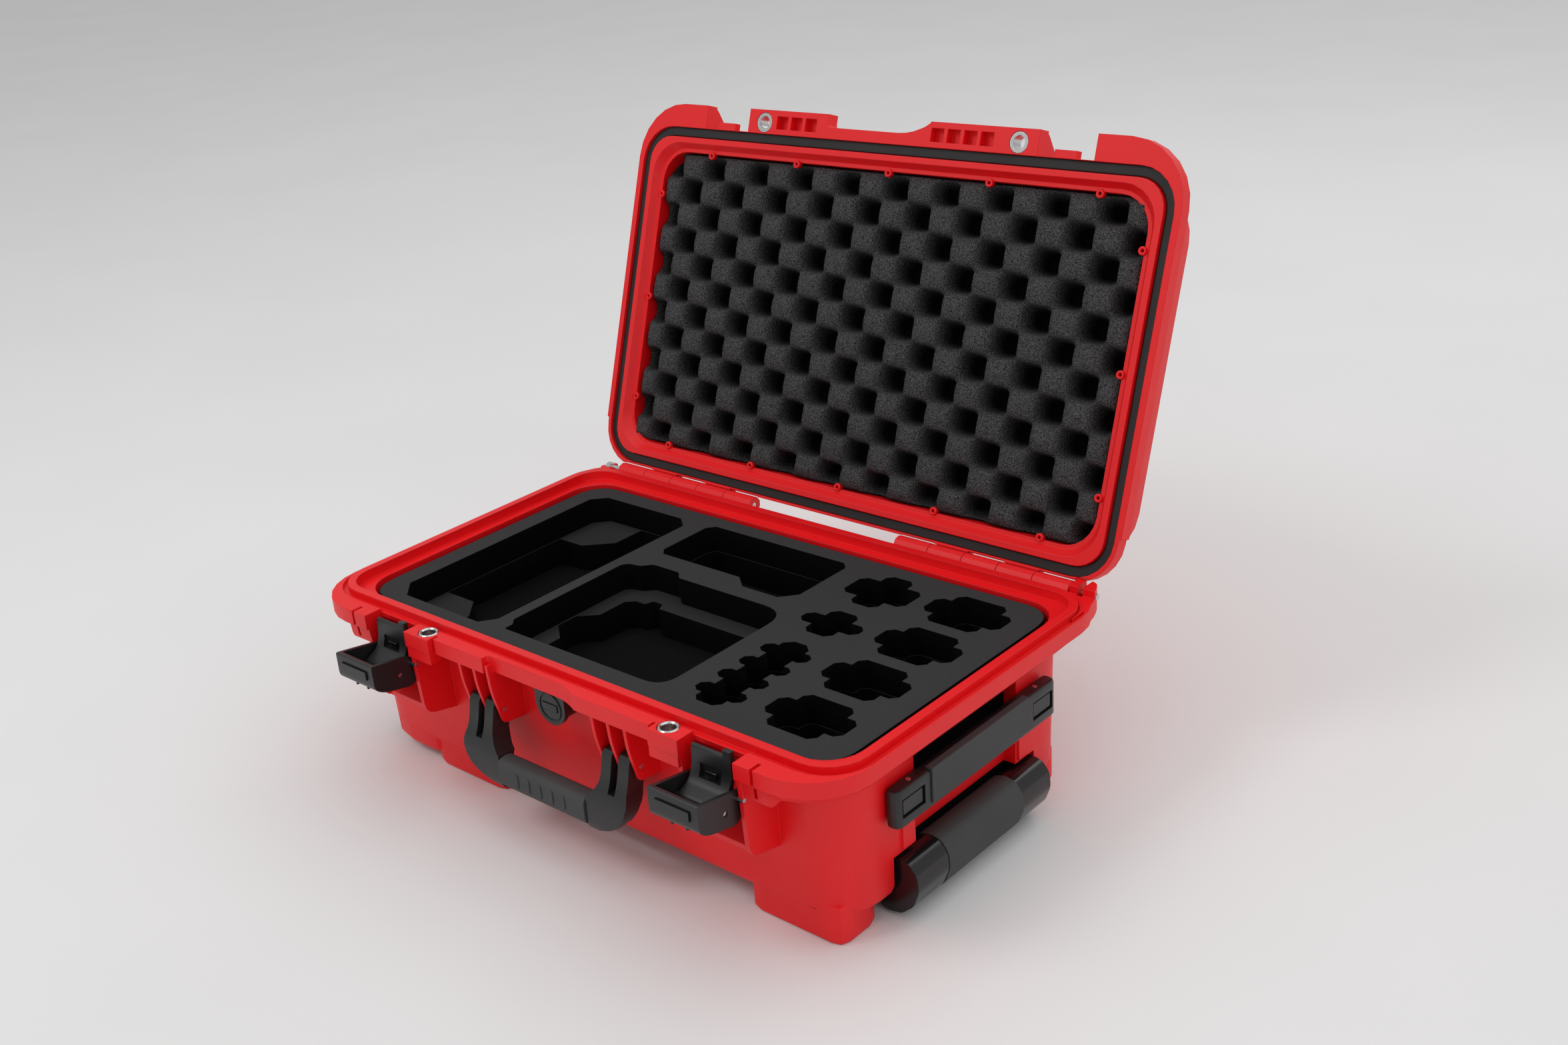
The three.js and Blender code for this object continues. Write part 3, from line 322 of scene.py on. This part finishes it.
def plus_points(x, y, wide, tall, chamfer, waist=0.5):
    """A plus-shaped pocket: a wide bar and a tall bar crossing, all corners cut."""
    (wx, wy), (tx, ty) = wide, tall
    corners = [
        (wx, wy), (tx + waist, wy), (tx, wy + waist), (tx, ty), (-tx, ty), (-tx, wy + waist),
        (-tx - waist, wy), (-wx, wy), (-wx, -wy), (-tx - waist, -wy), (-tx, -wy - waist),
        (-tx, -ty), (tx, -ty), (tx, -wy - waist), (tx + waist, -wy), (wx, -wy),
    ]
    outer = {0, 3, 4, 7, 8, 11, 12, 15}
    cut = []
    for i, corner in enumerate(corners):
        if i not in outer:
            cut.append(Vector((x + corner[0], y + corner[1])))
            continue
        here = Vector(corner)
        for other in (corners[i - 1], corners[(i + 1) % len(corners)]):
            toward = Vector(other) - here
            place = here + toward * min(chamfer / toward.length, 0.49)
            cut.append(Vector((x, y)) + place)
    return cut


def propeller_points():
    """A long slot with four cross teeth."""
    right = []
    for y in (-28, -52, -76, -100):
        right += [(132, y + 7), (137, y + 7), (142, y + 3), (142, y - 3), (137, y - 7), (132, y - 7)]
    left = [(239 - x, y) for x, y in reversed(right)]
    return [Vector(p) for p in (
        [(125, -10), (132, -16)] + right + [(132, -113), (127, -118), (112, -118), (107, -113)]
        + left + [(107, -16), (114, -10)])]


def small_pocket_loops():
    loops = [plus_points(195, y, (35, 12.5), (22.5, 25), 5) for y in BATTERY_Y]
    loops.append(plus_points(117, 94, (30, 15), (13, 27.5), 5))
    loops.append(plus_points(118, 29, (28, 8), (13, 20.5), 5))
    loops.append(propeller_points())
    return loops


def foam_outline(inset=0.0):
    """The foam's edge: a rectangle with rounded corners."""
    x, y = FOAM_HALF[0] - inset, FOAM_HALF[1] - inset
    return rounded_points([(-x, -y), (x, -y), (x, y), (-x, y)], FOAM_CORNER, 10)


def base_foam():
    layers = (
        ("foam_top_sheet", "foam_top", GREY_FOAM, "grey_foam", FOAM_TOP - 24, FOAM_TOP - LAYER_GAP, 0.7,
         [foam_outline(), LONG_POCKET, REAR_POCKET,
          rounded_points(MAIN_POCKET, MAIN_CORNERS), *small_pocket_loops()]),
        # The middle sheet: black foam painted lighter as lit, above the black floor sheet.
        ("foam_middle_sheet", "foam_middle", LIT_BLACK_FOAM, "black_foam",
         FOAM_TOP - 49, FOAM_TOP - 24 - LAYER_GAP, 0.5,
         [foam_outline(), LONG_LOWER, REAR_POCKET, MAIN_LOWER, *small_pocket_loops()]),
        ("foam_floor_sheet", "foam_bottom", BLACK_FOAM, "black_foam",
         FOAM_FLOOR, FOAM_TOP - 49 - LAYER_GAP, 0.5,
         [foam_outline(5)]),
    )
    for name, node, material, slot, low, high, edge, loops in layers:
        mesh = sheet_mesh(name, loops, low, high, edge)
        sheet = piece(name, mesh, material, "case_base")
        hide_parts(*sorted(n for n in NODES if n.startswith(node)))


# ---- lid foam ----------------------------------------------------------------
LID_FOAM_HALF = (248.0, 133.0)
LID_FOAM_FACE = 2.0  # above the closed rim
PIT_PITCH = (51.0, 45.0)
PIT_DEPTH = 24.0
PIT_SHIFT = (-12.0, 80.0)  # a pit's centre
PIT_SWELL = 0.22  # share of the depth in the gentle slope from the peaks
PIT_EDGE = (0.40, 0.82)  # where the steep wall of a pit begins and ends
LID_FOAM_STEP = 2.0
LID_FOAM_BACK = 57.0  # above the closed rim


def pit_height(x, y):
    """Egg-crate relief: 0 at the peaks, 1 in the pits."""
    u = math.cos(2 * math.pi * (x - PIT_SHIFT[0]) / PIT_PITCH[0])
    v = math.cos(2 * math.pi * (y - PIT_SHIFT[1]) / PIT_PITCH[1])
    wave = (u * v + 1.0) / 2.0
    t = min(1.0, max(0.0, (wave - PIT_EDGE[0]) / (PIT_EDGE[1] - PIT_EDGE[0])))
    return PIT_SWELL * wave + (1.0 - PIT_SWELL) * t * t * (3.0 - 2.0 * t)


def lid_foam():
    """The lid's convoluted foam, drawn with the lid closed and then opened."""
    half_x, half_y = LID_FOAM_HALF
    columns = int(half_x * 2 / LID_FOAM_STEP)
    rows = int(half_y * 2 / LID_FOAM_STEP)
    bm = bmesh.new()
    pit = bm.verts.layers.float.new("pit_depth")
    grid = []
    for j in range(rows + 1):
        line = []
        for i in range(columns + 1):
            x = -half_x + 2 * half_x * i / columns
            y = -half_y + 2 * half_y * j / rows
            rim = min(1.0, min(half_x - abs(x), half_y - abs(y)) / 9.0)
            depth = PIT_DEPTH * pit_height(x, y) * (0.35 + 0.65 * rim)
            roll = 5.0 * (1.0 - rim) ** 2
            ripple = 0.5 * noise.noise(Vector((x, y, 0.0)) * 0.06)
            z = LIP_Z + LID_FOAM_FACE + depth + roll + ripple
            vert = bm.verts.new((x * MM, y * MM, z * MM))
            # The pit depth is stored as the mask for painted shade in the pits.
            vert[pit] = min(1.0, depth / PIT_DEPTH * 1.15)
            line.append(vert)
        grid.append(line)
    for j in range(rows):
        for i in range(columns):
            bm.faces.new((grid[j][i], grid[j + 1][i], grid[j + 1][i + 1], grid[j][i + 1]))
    edge = [e for e in bm.edges if e.is_boundary]
    skirt = bmesh.ops.extrude_edge_only(bm, edges=edge)
    for element in skirt["geom"]:
        if isinstance(element, bmesh.types.BMVert):
            element.co.z = (LIP_Z + LID_FOAM_BACK) * MM
    bm.transform(OPEN_LID)
    obj = piece("lid_convoluted_foam", from_bmesh("lid_convoluted_foam", bm), LID_FOAM, "lid")
    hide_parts("lid_foam")


# Lid foam: its pits darkened towards near black by painted shade, through the stored pit depth.
LID_FOAM = foam("lid_open_cell_foam", (0.007, 0.007, 0.0075), (0.12, 0.12, 0.125), 900.0, 1.0, 1.2,
                stored_depth)


# ---- small details -----------------------------------------------------------
LATCH_X = 174.25
VALVE_Z = LIP_Z - 32
OPEN_LID = (Matrix.Translation(HINGE) @ Matrix.Rotation(-LID_OPEN, 4, "X")
            @ Matrix.Translation(-HINGE))


def add_pad(bm, low, high, ease):
    """A small block with all its edges rounded, between two corners in millimetres."""
    made = bmesh.ops.create_cube(bm, size=1.0)["verts"]
    for vert in made:
        for axis in range(3):
            middle = (low[axis] + high[axis]) / 2
            vert.co[axis] = (middle + vert.co[axis] * (high[axis] - low[axis])) * MM
    edges = {edge for vert in made for edge in vert.link_edges}
    bmesh.ops.bevel(bm, geom=list(edges), offset=ease * MM, segments=3, profile=0.5, affect="EDGES")


def add_turned(bm, profile, place, axis, segments=28):
    """A closed profile of (radius, height) in millimetres turned about an axis through a place."""
    turn = Vector((0, 0, 1)).rotation_difference(Vector(axis)).to_matrix()
    rings = []
    for k in range(segments):
        angle = 2 * math.pi * k / segments
        rings.append([
            bm.verts.new((turn @ Vector((r * math.cos(angle), r * math.sin(angle), h))
                          + Vector(place)) * MM) for r, h in profile])
    for k, ring in enumerate(rings):
        after = rings[(k + 1) % segments]
        for i in range(len(profile)):
            j = (i + 1) % len(profile)
            bm.faces.new((ring[i], after[i], after[j], ring[j]))


def ring_profile(inner, outer, height):
    """A ring with eased top edges."""
    ease = min(0.4, (outer - inner) / 3)
    return [(inner, 0), (outer, 0), (outer, height - ease), (outer - ease, height),
            (inner + ease, height), (inner, height - ease)]


def lid_bosses():
    """Hollow bosses along the ridge between the lid's foam and its seal."""
    rows = [(x, 133.5) for x in (-200, -98, 2, 103, 205)]
    rows += [(x, -133.5) for x in (-193, -93, 6, 106, 206)]
    rows += [(249.5, y) for y in (93, -2, -95)] + [(-249.5, y) for y in (95, 0, -95)]
    bm = bmesh.new()
    for x, y in rows:
        add_turned(bm, ring_profile(1.4, 3.4, 5.0), (x, y, LIP_Z + 7.0), (0, 0, -1))
    bm.transform(OPEN_LID)
    piece("lid_ring_bosses", from_bmesh("lid_ring_bosses", bm), RED, "lid")


def valve_details():
    """A raised rim and a blank label plate on the valve's face."""
    bm = bmesh.new()
    add_turned(bm, ring_profile(10.6, 12.0, 0.9), (0, -161.0, VALVE_Z), (0, -1, 0), 40)
    add_pad(bm, (-8, -162.0, VALVE_Z - 3), (8, -160.9, VALVE_Z + 3), 0.4)
    piece("valve_rim_and_label", from_bmesh("valve_rim_and_label", bm), BLACK, "case_base")


def latch_details():
    """A glossy tongue in the recess of each claw."""
    for side, x in (("left", -LATCH_X), ("right", LATCH_X)):
        bm = bmesh.new()
        add_pad(bm, (x - 5, -172.6, LIP_Z - 27.0), (x + 5, -170.7, LIP_Z - 22), 0.6)
        name = f"latch_{side}_tongue"
        piece(name, from_bmesh(name, bm), GLOSS, f"latch_{side}_claw")


def grip_ridges():
    """Five short ridges across the front of the carrying handle's grip."""
    bm = bmesh.new()
    for k in range(5):
        x = (k - 2) * 13.0
        add_pad(bm, (x - 1.6, -183.0, LIP_Z - 101), (x + 1.6, -181.6, LIP_Z - 90), 0.6)
    piece("handle_grip_ridges", from_bmesh("handle_grip_ridges", bm), GRIP, "front_handle")


# ---- floor, light, camera ----------------------------------------------------
def floor():
    bm = bmesh.new()
    bmesh.ops.create_grid(bm, x_segments=2, y_segments=2, size=40.0)
    mesh = from_bmesh("studio_floor", bm)
    obj = bpy.data.objects.new("studio_floor", mesh)
    bpy.context.scene.collection.objects.link(obj)
    mat, tree, shader = new_material("pale_floor", (0.78, 0.78, 0.78), 0.8)
    vary_colour(tree, shader, object_noise(tree, 3.0), [(0.3, (0.77, 0.77, 0.77)), (0.7, (0.79, 0.79, 0.79))])
    obj.data.materials.append(mat)


def area_light(name, place, target, size, power):
    light = bpy.data.lights.new(name, "AREA")
    light.shape = "DISK"
    light.size = size
    light.energy = power
    obj = bpy.data.objects.new(name, light)
    obj.location = place
    obj.rotation_euler = (Vector(target) - Vector(place)).to_track_quat("-Z", "Y").to_euler()
    bpy.context.scene.collection.objects.link(obj)


def lights():
    world = bpy.data.worlds.new("studio")
    world.use_nodes = True
    world.node_tree.nodes["Background"].inputs["Color"].default_value = (0.9, 0.9, 0.9, 1.0)
    world.node_tree.nodes["Background"].inputs["Strength"].default_value = 0.62
    bpy.context.scene.world = world
    bpy.context.scene.view_settings.view_transform = "Standard"
    area_light("overhead", (0.8, 1.2, 5.0), (0.0, 0.0, 0.0), 7.0, 80.0)
    area_light("key", (-0.9, -1.5, 2.2), (0.0, 0.0, 0.1), 1.0, 14.0)
    area_light("fill", (2.0, -0.6, 1.4), (0.1, 0.0, 0.1), 1.6, 5.0)
    area_light("rim", (0.3, 2.2, 1.8), (0.0, 0.1, 0.3), 1.4, 5.0)


CAMERA_PLACE = (0.886, -0.876, 0.743)
CAMERA_TURN = (44.8, 24.23, -5.35)  # azimuth, elevation and roll in degrees
CAMERA_LENS = 39.57
CAMERA_SHIFT = (0.0507, 0.0234)


def camera():
    azimuth, elevation, roll = (math.radians(a) for a in CAMERA_TURN)
    back = Vector((math.sin(azimuth) * math.cos(elevation),
                   -math.cos(azimuth) * math.cos(elevation), math.sin(elevation)))
    right = (-back).cross(Vector((0, 0, 1))).normalized()
    up = right.cross(-back)
    right, up = (math.cos(roll) * right + math.sin(roll) * up,
                 -math.sin(roll) * right + math.cos(roll) * up)
    data = bpy.data.cameras.new("photo_camera")
    data.sensor_width = 36.0
    data.lens = CAMERA_LENS
    data.shift_x, data.shift_y = CAMERA_SHIFT
    obj = bpy.data.objects.new("photo_camera", data)
    obj.matrix_world = Matrix((
        (right.x, up.x, back.x, CAMERA_PLACE[0]),
        (right.y, up.y, back.y, CAMERA_PLACE[1]),
        (right.z, up.z, back.z, CAMERA_PLACE[2]),
        (0, 0, 0, 1),
    ))
    bpy.context.scene.collection.objects.link(obj)
    bpy.context.scene.camera = obj


dress_nodes()
base_foam()
lid_foam()
lid_bosses()
valve_details()
latch_details()
grip_ridges()
floor()
lights()
camera()
